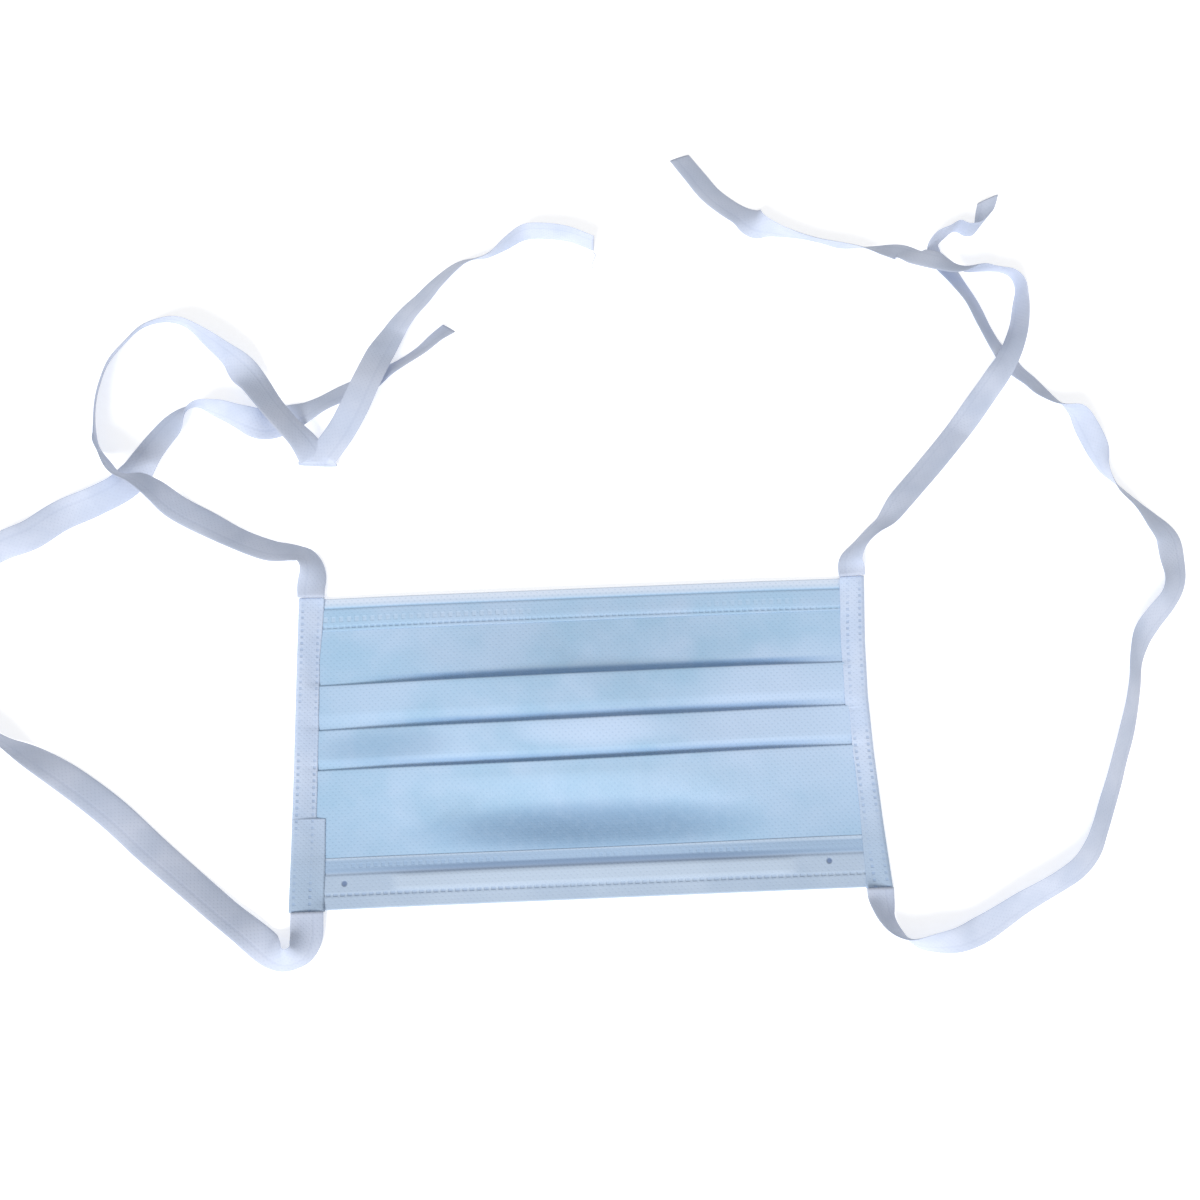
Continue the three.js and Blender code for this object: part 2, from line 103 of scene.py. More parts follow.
class Finish:
    # one node material; fixed numbers go straight onto its shader
    def __init__(self, name, **fixed):
        self.material = bpy.data.materials.new(name)
        self.material.use_nodes = True
        self.tree = self.material.node_tree
        self.tree.nodes.clear()
        self.shader = self.tree.nodes.new("ShaderNodeBsdfPrincipled")
        output = self.tree.nodes.new("ShaderNodeOutputMaterial")
        self.tree.links.new(self.shader.outputs[0], output.inputs[0])
        for key, value in fixed.items():
            self.shader.inputs[key.replace("_", " ")].default_value = value

    def node(self, kind, settings=None, sockets=None, result=0):
        # one node with its settings and sockets, given back as one of its results
        made = self.tree.nodes.new(kind)
        for key, value in (settings or {}).items():
            setattr(made, key, value)
        for key, value in (sockets or {}).items():
            if isinstance(value, Value):
                self.tree.links.new(value.socket, made.inputs[key])
            else:
                made.inputs[key].default_value = value
        return Value(self, made.outputs[result])

    def sum(self, operation, *terms):
        return self.node("ShaderNodeMath", {"operation": operation}, dict(enumerate(terms)))

    def cut(self):
        # places on the piece's flat cut, in metres
        return self.node("ShaderNodeUVMap", {"uv_map": "cut"})

    def place(self):
        # places on the piece as it lies, in metres
        return self.node("ShaderNodeTexCoord", None, None, 3)

    def parts(self, place):
        split = self.node("ShaderNodeSeparateXYZ", None, {0: place})
        return [Value(self, socket) for socket in split.socket.node.outputs]

    def moved(self, place, turn=0.0, scale=(1, 1, 1)):
        sockets = {"Vector": place, "Rotation": (0, 0, turn), "Scale": scale}
        return self.node("ShaderNodeMapping", None, sockets)

    def cloud(self, place, scale, detail=2.0, rough=0.5):
        sockets = {"Vector": place, "Scale": scale, "Detail": detail, "Roughness": rough}
        return self.node("ShaderNodeTexNoise", None, sockets)

    def fade(self, value, full, none):
        # 1 where the value is at full, 0 where it is at none, smooth between
        sockets = {"Value": value, "From Min": none, "From Max": full, "To Min": 0.0, "To Max": 1.0}
        return self.node("ShaderNodeMapRange", {"interpolation_type": "SMOOTHSTEP"}, sockets)

    def mixed(self, share, first, second):
        return self.node("ShaderNodeMix", {"data_type": "RGBA"}, {0: share, 6: first, 7: second}, 2)

    def give(self, **sockets):
        for key, value in sockets.items():
            self.tree.links.new(value.socket, self.shader.inputs[key.replace("_", " ")])
        return self.material


fullLight = 1.14  # how strongly the lights fall on cloth that looks straight up


def tone(red, green, blue):
    # a screen colour, 0 to 255, made linear and divided by the light that falls on the cloth
    linear = [((level / 255 + 0.055) / 1.055) ** 2.4 for level in (red, green, blue)]
    return tuple(level / fullLight for level in linear) + (1,)


def bondPoints(finish, cut, gap):
    # pressed points on a slanting square grid: 1 inside a point, 0 between
    x, y, _ = finish.parts(finish.moved(cut, np.pi / 4, (1 / gap, 1 / gap, 1)))
    x = finish.sum("FRACT", x) - 0.5
    y = finish.sum("FRACT", y) - 0.5
    return finish.fade((x * x + y * y) ** 0.5, 0.12, 0.27)


def fibres(finish, cut, fine):
    # hair-thin strands in two slanting directions
    one = finish.cloud(finish.moved(cut, 0.5, (fine * 0.12, fine, 1)), 1.0, 3.0, 0.6)
    two = finish.cloud(finish.moved(cut, -0.7, (fine * 0.14, fine * 0.9, 1)), 1.0, 3.0, 0.6)
    return finish.sum("MAXIMUM", one, two)


def weldRow(finish, along, across, at, width, pitch, share):
    # short pressed dashes in a row: share is the dash's part of the pitch
    inRow = finish.fade(abs(across - at), width * 0.35, width * 0.65)
    place = abs(finish.sum("FRACT", along / pitch) - 0.5)
    return inRow * finish.fade(place, share / 2 - 0.06, share / 2 + 0.06)


def drawnLine(finish, across, at, width):
    # a straight line: 1 along its middle, fading to 0 at half its width
    return finish.fade(abs(across - at), width * 0.2, width * 0.5)


def bumped(finish, height, depth, strength=1.0):
    # the surface's normal, tilted by the slope of a height pattern
    sockets = {"Strength": strength, "Distance": depth, "Height": height}
    return finish.node("ShaderNodeBump", None, sockets)


def nonwoven(name, look):
    # a nonwoven's finish, its cut, its pressed points and its fine strands
    finish = Finish(name, Roughness=look["rough"], Sheen_Weight=look["sheen"], Sheen_Roughness=0.5)
    cut = finish.cut()
    return finish, cut, bondPoints(finish, cut, look["gap"]), fibres(finish, cut, look["fine"])


def softNoise(x, y, size, seed):
    # seeded numbers on a square lattice, blended by smoothstep both ways
    lattice = np.random.default_rng(seed).uniform(-1, 1, (128, 128))
    u, v = x / size + 63.5, y / size + 63.5
    i, j = np.floor(u).astype(int), np.floor(v).astype(int)
    u, v = u - i, v - j
    u, v = u * u * (3 - 2 * u), v * v * (3 - 2 * v)
    i, j = i % 127, j % 127
    near = lattice[i, j] * (1 - u) + lattice[i + 1, j] * u
    far = lattice[i, j + 1] * (1 - u) + lattice[i + 1, j + 1] * u
    return near * (1 - v) + far * v


def smoothed(values, spread):
    # running mean with bell-shaped weights along the first axis, ends carried on straight
    reach = int(np.ceil(3 * spread))
    bell = np.exp(-0.5 * (np.arange(-reach, reach + 1) / spread) ** 2)
    bell = bell / bell.sum()
    head = 2 * values[0] - values[reach:0:-1]
    tail = 2 * values[-1] - values[-2:-reach - 2:-1]
    longer = np.concatenate([head, values, tail])
    return np.stack([np.convolve(column, bell, "valid") for column in longer.T], axis=1)


def buildSkin(name, rings, cut, material):
    # rings of points joined into a closed skin; a ring runs along one face and back along the other,
    # so each end is closed by joining its first point to its last, its second to its last but one
    rows, around = rings.shape[:2]
    r, k = np.meshgrid(np.arange(rows - 1), np.arange(around), indexing="ij")
    following = (k + 1) % around
    this, after = r * around, (r + 1) * around
    quads = np.stack([this + k, this + following, after + following, after + k], -1)
    wide = around + 1
    this, after = r * wide + k, (r + 1) * wide + k
    corners = np.stack([this, this + 1, after + 1, after], -1)
    i = np.arange(around // 2 - 1)
    cap = np.stack([i, around - 1 - i, around - 2 - i, i + 1], -1)
    endCap = cap[:, ::-1]
    faces = np.concatenate([quads.reshape(-1, 4), cap, endCap + (rows - 1) * around])
    corners = np.concatenate([corners.reshape(-1, 4), cap, endCap + (rows - 1) * wide])
    points = rings.reshape(-1, 3)
    a, b, c, d = (points[faces[:, n]] for n in range(4))
    volume = np.einsum("ij,ij->i", a, np.cross(b, c) + np.cross(c, d)).sum()
    if volume < 0:
        faces, corners = faces[:, ::-1], corners[:, ::-1]
    mesh = bpy.data.meshes.new(name)
    mesh.from_pydata(points.tolist(), [], faces.tolist())
    layer = mesh.uv_layers.new(name="cut")
    layer.data.foreach_set("uv", cut.reshape(-1, 2)[corners.ravel()].astype(np.float32).ravel())
    smooth = np.arange(len(faces)) < len(faces) - 2 * len(cap)  # the end caps stay flat
    mesh.polygons.foreach_set("use_smooth", smooth)
    mesh.materials.append(material)
    mesh.validate()
    piece = bpy.data.objects.new(name, mesh)
    bpy.context.scene.collection.objects.link(piece)
    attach(piece, "root")
    return piece


def closedCut(flat):
    # the cut's places round a ring, with the first one again at the end
    return np.concatenate([flat, flat[:, :1]], axis=1)


# Ties: flat tape along its route; columns are x and y in millimetres from the tie's start, lean, lift
# lean 0 is flat, 90 stands on an edge, 180 has turned over; lift is the room below as a share of the width;
# a row with a 1 behind is a crease where the tape turns over and goes on above itself
tape = {"width": 0.0095, "thickness": 0.001, "clearance": 0.0003, "shown": 0.00055, "step": 0.0009,
        "spans": 12, "sidePoints": 13, "sight": 0.0004, "softening": 2.2, "opening": 0.014,
        "waver": 2.0, "waverSize": 0.012, "calmEnds": 0.01, "crown": 0.00022, "puff": 0.5, "puffSize": 0.02}
upperLeftRoute = [
    (0, 0, 6, 0.2), (0, 3, 9, 0.18), (0.6, 7.2, 34, 0.04), (0, 10.8, 49, 0.02),
    (-1.9, 13.2, 51, 0.01), (-4.7, 14, 46, 0.02), (-8.4, 14.6, 37, 0.04), (-12.5, 15.2, 33, 0.1),
    (-22, 19.2, 34, 0.05), (-33, 25.5, 22, 0), (-42.5, 31, 23, 0.11), (-48, 35, 36, 0.61),
    (-52.5, 37.5, 51, 0.89), (-58, 39.5, 75, 0.82), (-63.5, 46.5, 86, 0.4), (-67.5, 53, 96, 0),
    (-68.5, 59.5, 104, 0), (-68.5, 67, 108, 0), (-67.5, 73, 111, 0), (-65, 80.5, 114, 0),
    (-60.5, 86.5, 116, 0), (-55, 92, 115, 0), (-48, 94, 110, 0), (-42, 93, 94, 0),
    (-35, 88, 73, 0), (-27, 81, 58, 0), (-19.5, 72.5, -20, 0.2), (-13.5, 63.5, -36, 0.45),
    (-7.5, 55.5, -38, 0.6), (-2.5, 50, -30, 0.42), (1.5, 44, 0, 0.04, 1), (9.5, 52.5, 177, 0.62),
    (14, 59, 177, 0.93), (18, 68, 172, 0.91), (22, 79.5, 174, 0.46), (26, 88, 154, 0),
    (31, 94.5, 145, 0), (35, 98.5, 141, 0), (40, 104, 134, 0), (48, 110.5, 127, 0),
    (56.5, 112.5, 112, 0), (62.5, 116.5, 92, 0), (69, 120.5, 84, 0), (77, 120.5, 84, 0),
    (84, 119, 87, 0), (91.5, 115.5, 88, 0),
]
lowerLeftRoute = [
    (0, 0, -4, 0.2), (0, -3, -5, 0.19), (0, -7, -20, 0.11), (-0.8, -10, -38, 0.05),
    (-1.8, -11.8, -51, 0.02), (-3.3, -12.8, -58, 0), (-5.1, -13.3, -57, 0), (-7.2, -12.9, -46, 0),
    (-9.3, -11.6, -28, 0.03), (-12.6, -8.9, 6, 0.06), (-17.5, -4.5, 26, 0.06), (-23, 0, 30, 0.05),
    (-34, 9.5, 27, 0), (-46, 20, 17, 0), (-58.5, 31.5, 12, 0), (-72, 42, 22, 0),
    (-83.5, 49.5, 48, 0), (-91, 54, 75, 0), (-103.5, 63, 85, 0), (-113.5, 76, 90, 0),
    (-117, 87.5, 90, 0), (-113, 99, 83, 0), (-105, 107.5, 70, 0), (-95.5, 114.5, 48, 0),
    (-87, 118.5, 26, 0), (-78, 124.5, 18, 0), (-67, 128.5, 40, 0), (-59.5, 132.5, 38, 0),
    (-55.5, 137.5, 15, 0), (-52.5, 143, -9, 0), (-48.5, 148.5, -14, 0), (-43.5, 154, -18, 0),
    (-36.5, 158.5, -82, 0), (-29, 157, -113, 0), (-21.5, 154, -129, 0), (-14.5, 152.5, -184, 0),
    (-8.5, 154, -173, 0), (-2.5, 155.5, -205, 0), (3, 158, -218, 0), (9, 161, -214, 0),
    (16.5, 164, -206, 0), (24.5, 168.5, -226, 0), (29, 171, -230, 0), (35, 175, -229, 0),
    (40, 179.5, -226, 0), (44, 182.5, -220, 0),
]
upperRightRoute = [
    (0, 0, -6, 0.2), (0, 2, -10, 0.17), (0.1, 4.9, -42, 0.02), (1.8, 8, -61, 0),
    (4.2, 10.8, -67, 0), (7.7, 13.9, -62, 0), (11.9, 17, -53, 0), (16.9, 23.2, -38, 0.06),
    (26.9, 34, -35, 0), (37.6, 46, -36, 0), (44.5, 54.5, -36, 0.48), (50, 61.5, -38, 0.88),
    (54.5, 68.5, -50, 0.8), (60, 81, -65, 0.25), (62, 89.5, -74, 0), (62.5, 95, -87, 0),
    (60.5, 99, -105, 0), (57.5, 100.5, -111, 0), (52.5, 101, -106, 0.04), (47, 100.5, -99, 0.24),
    (40.5, 100, -145, 0.72), (34.5, 101, -156, 0.99), (29, 104, -160, 0.78), (25, 108, -156, 0.25),
    (18.5, 109.5, -138, 0.06), (12, 110.5, -116, 0), (5.5, 111.5, -106, 0), (-1, 113.5, -114, 0),
    (-7.5, 115.5, -110, 0), (-14, 117.5, -96, 0), (-19.5, 119.5, -74, 0), (-24.5, 124, 21, 0),
    (-29.5, 127.5, 23, 0), (-35.5, 133, 25, 0), (-40, 139.5, 27, 0), (-45, 147, 28, 0),
]
lowerRightRoute = [
    (0, 0, -6, 0.2), (0, -2.8, -9, 0.17), (0.6, -7.9, -48, 0.02), (3.1, -12.2, -60, 0),
    (6.2, -14.8, -76, 0), (10.2, -16, -109, 0), (15.5, -16.2, -125, 0), (21.5, -15.6, -141, 0),
    (27.8, -13.3, -152, 0), (33.8, -10.1, -144, 0), (40, -6.5, -137, 0), (46, -3.5, -133, 0),
    (52, -0.5, -133, 0), (58.5, 3.5, -136, 0), (63, 8.5, -140, 0), (66, 14.5, -135, 0),
    (69, 21.5, -137, 0), (72, 28.5, -136, 0), (74.5, 35, -134, 0), (77.5, 42.5, -135, 0),
    (80, 50, -130, 0), (82, 57.5, -129, 0), (83.5, 65, -130, 0), (86.5, 72, -140, 0),
    (90.5, 77, -138, 0), (96, 83, -135, 0), (99, 89, -147, 0), (99.5, 96, -159, 0),
    (99, 102.5, -161, 0), (94.5, 108.5, -142, 0), (90, 114, -126, 0), (85.5, 119, -124, 0),
    (82, 124.5, -100, 0), (80.5, 131.5, -66, 0), (78, 139, -62, 0), (75.5, 144.5, -72, 0),
    (72, 147, -116, 0), (68.5, 149.5, -127, 0), (65, 153, -140, 0), (62, 156.5, -139, 0),
    (58.5, 160, -143, 0), (55.5, 164.5, -149, 0), (52.5, 169, -137, 0), (49.5, 176, -134, 0),
    (46.5, 184.5, -134, 0), (42.5, 192, -140, 0), (38.5, 199, -151, 0), (36, 203, -138, 0),
    (37, 206.5, -98, 0), (41, 209.5, -88, 0), (44.5, 211.5, -84, 0), (47.5, 210, -87, 0),
    (51, 210.5, -92, 0), (53.5, 215, -61, 0), (55.5, 221, -59, 0),
]


def halfHeight(lean):
    # half the height of a leaning section: width times sine and thickness times cosine, added and halved
    turned = np.radians(lean)
    return (tape["width"] * abs(np.sin(turned)) + tape["thickness"] * abs(np.cos(turned))) / 2


def throughPoints(points, spans):
    # centripetal curve through the points: on each span a cubic whose end slopes come from the neighbours
    longer = np.concatenate([[2 * points[0] - points[1]], points, [2 * points[-1] - points[-2]]])
    p0, p1, p2, p3 = (longer[n:len(longer) - 3 + n, None] for n in range(4))
    steps = ((p0, p1), (p1, p2), (p2, p3))
    d0, d1, d2 = (np.sqrt(np.linalg.norm(b - a, axis=2, keepdims=True)) for a, b in steps)
    slopeIn = d1 * ((p1 - p0) / d0 - (p2 - p0) / (d0 + d1) + (p2 - p1) / d1)
    slopeOut = d1 * ((p2 - p1) / d1 - (p3 - p1) / (d1 + d2) + (p3 - p2) / d2)
    t = np.linspace(0, 1, spans, endpoint=False)[None, :, None]
    bent = p1 + slopeIn * t + (3 * (p2 - p1) - 2 * slopeIn - slopeOut) * t ** 2
    bent = bent + (2 * (p1 - p2) + slopeIn + slopeOut) * t ** 3
    return np.concatenate([bent.reshape(-1, 3), points[-1:]])


def unit(vectors):
    # each vector divided by its own length
    return vectors / np.linalg.norm(vectors, axis=-1, keepdims=True)


def stretchRulings(points, leans, setbackIn, setbackOut, seed):
    # straight lines across the tape at even steps: centre, half the tape across it, face direction, way on;
    # across and face are the level ones turned by the lean about the way
    path = throughPoints(points, tape["spans"])
    lean = np.interp(np.linspace(0, len(points) - 1, len(path)), np.arange(len(points)), leans)
    length = np.concatenate([[0], np.cumsum(np.linalg.norm(np.diff(path, axis=0), axis=1))])
    count = max(3, int(round((length[-1] - setbackIn - setbackOut) / tape["step"])) + 1)
    at = np.linspace(setbackIn, length[-1] - setbackOut, count)
    centre = np.stack([np.interp(at, length, path[:, n]) for n in range(3)], 1)
    ahead = np.stack([np.interp(at + tape["sight"], length, path[:, n]) for n in range(3)], 1)
    behind = np.stack([np.interp(at - tape["sight"], length, path[:, n]) for n in range(3)], 1)
    way = unit(ahead - behind)
    lean = np.interp(at, length, lean)
    if count > 30:  # a short stretch keeps its lean as it is
        lean = smoothed(lean[:, None], tape["softening"])[:, 0]
    free = np.minimum(1, np.minimum(at, at[-1] - at) / tape["calmEnds"])
    lean = lean + tape["waver"] * softNoise(at, at * 0, tape["waverSize"], seed) * free
    centre[:, 2] = np.maximum(centre[:, 2], halfHeight(lean))
    left = unit(np.cross([0, 0, 1], way))
    up = np.cross(way, left)
    turned = np.radians(lean)[:, None]
    across = np.cos(turned) * left + np.sin(turned) * up
    normal = np.cos(turned) * up - np.sin(turned) * left
    return centre, across * tape["width"] / 2, normal, way


def creaseRulings(fold, wayIn, wayOut):
    # the tape rolls over a slanting line that halves the turn: the centre goes half round a small circle
    crease = unit(wayIn + wayOut)
    left = np.cross([0, 0, 1], wayIn)
    across = crease * tape["width"] / 2 / crease.dot(left)
    outward = unit(wayIn - wayOut)
    roll = (tape["thickness"] + tape["clearance"]) / 2
    turns = 9
    angle = np.linspace(0, np.pi, turns)[:, None]
    centre = fold + outward * roll * np.sin(angle) + np.array([0, 0, 1]) * roll * (1 - np.cos(angle))
    normal = outward * np.sin(angle) + np.array([0, 0, 1]) * np.cos(angle)
    return centre, np.repeat(across[None], turns, 0), normal, np.repeat(wayIn[None], turns, 0)


def between(first, second, steps=6):
    # rulings that fill the flat wedge between two others
    share = np.linspace(0, 1, steps + 2)[1:-1, None]
    return tuple(a[-1] * (1 - share) + b[0] * share for a, b in zip(first, second))


def tieRulings(route, start, seed):
    # stretches and creases in turn; each crease begins where the stretch before it ends and raises the next
    rows = np.array([row[:4] for row in route], float)
    points = np.zeros((len(rows), 3))
    points[:, :2] = rows[:, :2] / 1000 + start
    points[:, 2] = rows[:, 3] * tape["width"] + halfHeight(rows[:, 2])
    leans = rows[:, 2].copy()
    pieces, first, setbackIn, begin, beginLean = [], 0, 0.0, None, None
    folds = [index for index, row in enumerate(route) if len(row) > 4] + [len(rows) - 1]
    for fold in folds:
        part, partLeans = points[first:fold + 1].copy(), leans[first:fold + 1].copy()
        if begin is not None:
            part[0], partLeans[0] = begin, beginLean
        if fold == folds[-1]:
            stretch = stretchRulings(part, partLeans, setbackIn, 0.0, seed)
            if pieces:
                pieces.append(between(pieces[-1], stretch))
            pieces.append(stretch)
            break
        flat = np.array([1, 1, 0])
        wayIn = unit((points[fold] - points[fold - 1]) * flat)
        wayOut = unit((points[fold + 1] - points[fold]) * flat)
        setback = tape["width"] / 2 / np.tan(np.arccos(wayIn.dot(wayOut)) / 2)
        stretch = stretchRulings(part, partLeans, setbackIn, setback, seed + fold)
        crease = creaseRulings(points[fold], wayIn, wayOut)
        if pieces:
            pieces.append(between(pieces[-1], stretch))
        pieces += [stretch, between(stretch, crease), crease]
        first, setbackIn = fold, setback
        begin = points[fold] + [0, 0, tape["thickness"] + tape["clearance"]]
        beginLean = leans[fold] + 180 * np.sign(leans[fold + 1] - leans[fold])
    return [np.concatenate([piece[n] for piece in pieces]) for n in range(4)]


def buildTie(name, route, start, gathered, seed, material):
    # a thin section with rounded edges carried along the rulings, its middle a little crowned upwards; it
    # starts gathered to a share of its width and opens out along its first stretch
    centre, across, normal, way = tieRulings(route, start, seed)
    steps = np.linalg.norm(np.diff(centre, axis=0), axis=1)
    length = np.concatenate([[0], np.cumsum(steps)])
    opened = gathered + (1 - gathered) * np.minimum(1, length / tape["opening"])
    across = across * opened[:, None]
    side = np.sin(np.linspace(-np.pi / 2, np.pi / 2, tape["sidePoints"]))
    thick = tape["shown"] / 2 * (1 - side ** 6) ** 0.5
    sides = np.concatenate([side, side[::-1]])[None, :, None]
    thicks = np.concatenate([thick, -thick[::-1]])[None, :, None]
    puff = 1 + tape["puff"] * softNoise(length, length * 0, tape["puffSize"], seed + 7)[:, None, None]
    crown = tape["crown"] * puff * normal[:, None, 2:3] * (1 - sides ** 2)
    rings = centre[:, None] + across[:, None] * sides + normal[:, None] * (thicks + crown)
    slant = np.einsum("ij,ij->i", across, way)[:, None, None] * sides
    acrossCut = np.broadcast_to(sides * tape["width"] / 2, slant.shape)
    flat = np.concatenate([acrossCut, length[:, None, None] + slant], 2)
    tie = buildSkin(name, rings, closedCut(flat), material)
    print(name, "is", round(float(length[-1]), 4), "m long")
    return tie


tapeLook = {"rough": 0.88, "sheen": 0.1, "gap": 0.0011, "fine": 4200, "hemAt": 0.0019, "hemWidth": 0.0009}


def tapeCloth():
    # soft white tape with faint lengthwise strands and pressed points
    finish, cut, points, strands = nonwoven("whiteTapeCloth", tapeLook)
    across, along, _ = finish.parts(cut)
    patches = finish.cloud(cut, 60, 3)
    hem = drawnLine(finish, across, tapeLook["hemAt"], tapeLook["hemWidth"])
    colour = finish.mixed(finish.fade(patches, 0.7, 0.3), tone(188, 199, 221), tone(206, 214, 233))
    colour = colour.towards(points * 0.15, 162, 174, 204)
    colour = colour.towards(strands * 0.2, 220, 227, 242)
    colour = colour.towards(hem * 0.12, 158, 170, 200)
    height = strands * 0.35 + patches * 0.5 - points * 0.4 - hem * 0.4
    return finish.give(Base_Color=colour, Normal=bumped(finish, height, 0.0001, 0.8))


def sideEdge(side, along):
    # outer side edge at a share of the height: the outline's share of half the length, negative on the left
    share = np.interp(along, sideOutline["along"], sideOutline[side])
    return (-1 if side == "left" else 1) * share * body["length"] / 2


# Body: outline and layers; the side edges are shares of half the length, from the chin edge to the nose edge
body = {"length": 0.1764, "height": 0.0945, "cloth": 0.001, "clearance": 0.0003, "shown": 0.0004,
        "pitch": 0.0006, "lowest": 0.0009, "pressed": 0.38, "pressedReach": 0.4, "dome": 0.008,
        "lean": 0.2, "flatSides": 0.91, "join": 0.00005, "columns": 170}
sideOutline = {
    "along": [0, 0.22, 0.4, 0.58, 0.8, 1],
    "left": [0.978, 0.983, 0.986, 0.989, 0.994, 1],
    "right": [0.998, 0.981, 0.974, 0.977, 0.987, 1],
}


def tieStart(side, along, inset):
    # a corner of the body, moved inwards by a share of the tape's width; along is 0 or 1
    inwards = 1 if side == "left" else -1
    upwards = 1 if along == 0 else -1
    return np.array([sideEdge(side, along) + inwards * inset * tape["width"],
                     upwards * (body["height"] / 2 + body["join"])])


# Loose strand at the cut end of the upper left tie: x, y, z places it runs through
strand = {
    "radius": 0.00013,
    "length": 0.006,
    "corners": 8,
    "places": [(0.0091, 0.1618, 0.0006), (0.0097, 0.1604, 0.0011), (0.0089, 0.1588, 0.0007),
               (0.0084, 0.1572, 0.0003), (0.0088, 0.1557, 0.0002)],
}


def buildStrand(material):
    # a round section carried along its places, thinner towards the end
    path = throughPoints(np.array(strand["places"]), 5)
    way = unit(np.gradient(path, axis=0))
    left = unit(np.cross([0, 0, 1], way))
    up = np.cross(way, left)
    angle = np.radians(np.arange(strand["corners"]) * 360 / strand["corners"])[None, :, None]
    radius = strand["radius"] * np.linspace(1, 0.5, len(path))[:, None, None]
    rings = path[:, None] + radius * (np.cos(angle) * left[:, None] + np.sin(angle) * up[:, None])
    run = np.linspace(0, strand["length"], len(path))[:, None] + 0 * angle[:, :, 0]
    flat = np.stack([angle[:, :, 0] * strand["radius"] + 0 * run, run], -1)
    return buildSkin("looseStrand", rings, closedCut(flat), material)


whiteTape = tapeCloth()
looseStrand = buildStrand(whiteTape)
upperLeftTie = buildTie("upperLeftTie", upperLeftRoute, tieStart("left", 0, 0.42), 0.86, 11, whiteTape)
lowerLeftTie = buildTie("lowerLeftTie", lowerLeftRoute, tieStart("left", 1, 0.59), 1, 23, whiteTape)
upperRightTie = buildTie("upperRightTie", upperRightRoute, tieStart("right", 0, 0.41), 0.84, 37, whiteTape)
lowerRightTie = buildTie("lowerRightTie", lowerRightRoute, tieStart("right", 1, 0.42), 0.84, 41, whiteTape)
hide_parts("upper_left_tie")
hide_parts("lower_left_tie")
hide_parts("upper_right_tie")
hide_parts("lower_right_tie")
print("ties laid")

# Body cloth: a line down the body (distance from the chin edge, layer, gape) carried across it
hems = {"chin": 0.0106, "nose": 0.0152, "sinking": 0.003, "sunkLayer": 1.45, "thinning": 0.0012,
        "wireWidth": 0.0042, "wireLength": 0.116, "wireShift": 0.0015, "wireInset": 0.0054,
        "wireColumns": 120, "wireRise": 0.0005, "grooveDepth": 0.00022, "grooveWidth": 0.0007,
        "chinWelds": (0.0034, 0.0094), "chinDashes": 0.007, "noseWelds": (0.0106, 0.0045)}
pleats = {"depth": 0.0084, "gape": 0.0013, "drop": 0.0006, "tilt": 0.0014, "edge": [0.288, 0.433, 0.561],
          "share": [1, 0.55, 0.55]}
dent = {"depth": 0.0036, "across": -0.03, "along": 0.72, "slant": 1.1, "halfWidth": 0.62, "halfHeight": 0.12}
rumple = {"broad": 0.00045, "broadSize": 0.024, "squeeze": 1.6, "middle": 0.00016, "middleSize": 0.009,
          "small": 0.00005, "smallSize": 0.0035, "halfWidth": 0.086, "halfHeight": 0.0475}
# Creases pressed into the cloth: where each starts and ends, its rise and its width
creases = [
    ((-0.0475, -0.029), (-0.031, -0.0165), 0.0009, 0.003),
    ((-0.07, -0.024), (-0.058, -0.031), -0.0006, 0.004),
    ((0.018, -0.02), (0.026, -0.03), 0.0003, 0.003),
    ((-0.05, 0.033), (-0.042, 0.02), 0.0003, 0.0035),
    ((-0.01, 0.033), (0.002, 0.021), -0.0003, 0.004),
]


def swell(share):
    # 1 in the middle, 0 from 1 on either side: one less the square of the share, squared
    return (1 - np.minimum(1, share * share)) ** 2


def domeAt(across, along):
    # a swell both ways, less the slanting dent's own swell
    rise = body["dome"] * swell(across / body["flatSides"]) * swell(2 * along - 1)
    down = along - dent["along"]
    slanted = across - dent["slant"] * down
    dip = swell((slanted - dent["across"]) / dent["halfWidth"]) * swell(down / dent["halfHeight"])
    return rise - dent["depth"] * dip


def shiftAt(across, along):
    # how far a place lies towards the chin edge: domed cloth hangs back, pleats climb to the right
    middle = swell(2 * along - 1)
    back = body["lean"] * body["dome"] * swell(across / body["flatSides"])
    return (pleats["tilt"] * (1 + across) / 2 - back) * middle


def pressedAt(across):
    # share of the stack's height that the seal along each side leaves, rising by smoothstep from there
    free = np.clip((1 - abs(across)) / body["pressedReach"], 0, 1)
    return body["pressed"] + (1 - body["pressed"]) * free * free * (3 - 2 * free)


def rumpled(x, y):
    # broad and small waves of the cloth, and its pressed creases, dying out towards the edges
    height = rumple["broad"] * softNoise(x, y * rumple["squeeze"], rumple["broadSize"], 5)
    height = height + rumple["middle"] * softNoise(x, y, rumple["middleSize"], 6)
    height = height + rumple["small"] * softNoise(x, y, rumple["smallSize"], 7)
    for start, end, rise, width in creases:
        way = np.subtract(end, start)
        share = ((x - start[0]) * way[0] + (y - start[1]) * way[1]) / way.dot(way)
        off = ((x - start[0]) * way[1] - (y - start[1]) * way[0]) / np.linalg.norm(way)
        height = height + rise * np.exp(-(off / width) ** 2) * swell(2 * share - 1)
    return height * swell(x / rumple["halfWidth"]) ** 0.5 * swell(y / rumple["halfHeight"]) ** 0.5


